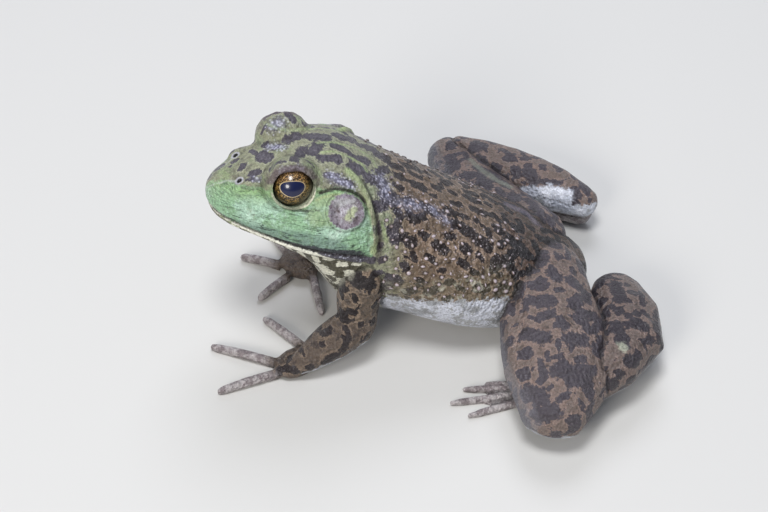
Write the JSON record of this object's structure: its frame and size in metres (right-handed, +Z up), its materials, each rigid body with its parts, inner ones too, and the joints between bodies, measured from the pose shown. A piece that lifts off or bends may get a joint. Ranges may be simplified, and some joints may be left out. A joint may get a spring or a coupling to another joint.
{
  "type": "bullfrog",
  "caption": "Life-size still model of a sitting bullfrog, with raised head, propped forelegs and folded hind legs, resting on its belly, hands and feet.",
  "frame": {"origin": "on the floor, at the bottom centre of the whole animal's bounding box", "axes": "+Z up; the frog faces -Y, and its left side is +X"},
  "size_m": [0.1535, 0.1533, 0.0763],
  "materials": {
    "skin": "moist frog skin, green head, brown blotched back and legs, cream belly",
    "eardrum": "smooth thin skin, violet-brown ring round a yellow-green middle",
    "eye": "clear wet glossy eye, gold-brown iris and dark oval pupil"
  },
  "bodies": {
    "root": {"eye_left": "eye", "eye_right": "eye", "finger_1_left": "skin", "finger_1_right": "skin", "finger_2_left": "skin", "finger_2_right": "skin", "finger_3_left": "skin", "finger_3_right": "skin", "finger_4_left": "skin", "finger_4_right": "skin", "foot_left": "skin", "foot_right": "skin", "forearm_left": "skin", "forearm_right": "skin", "head": "skin", "lower_jaw": "skin", "palm_left": "skin", "palm_right": "skin", "shank_left": "skin", "shank_right": "skin", "tarsus_left": "skin", "tarsus_right": "skin", "thigh_left": "skin", "thigh_right": "skin", "trunk": "skin", "tympanum_left": "eardrum", "tympanum_right": "eardrum", "upper_arm_left": "skin", "upper_arm_right": "skin"}
  },
  "joints": []
}
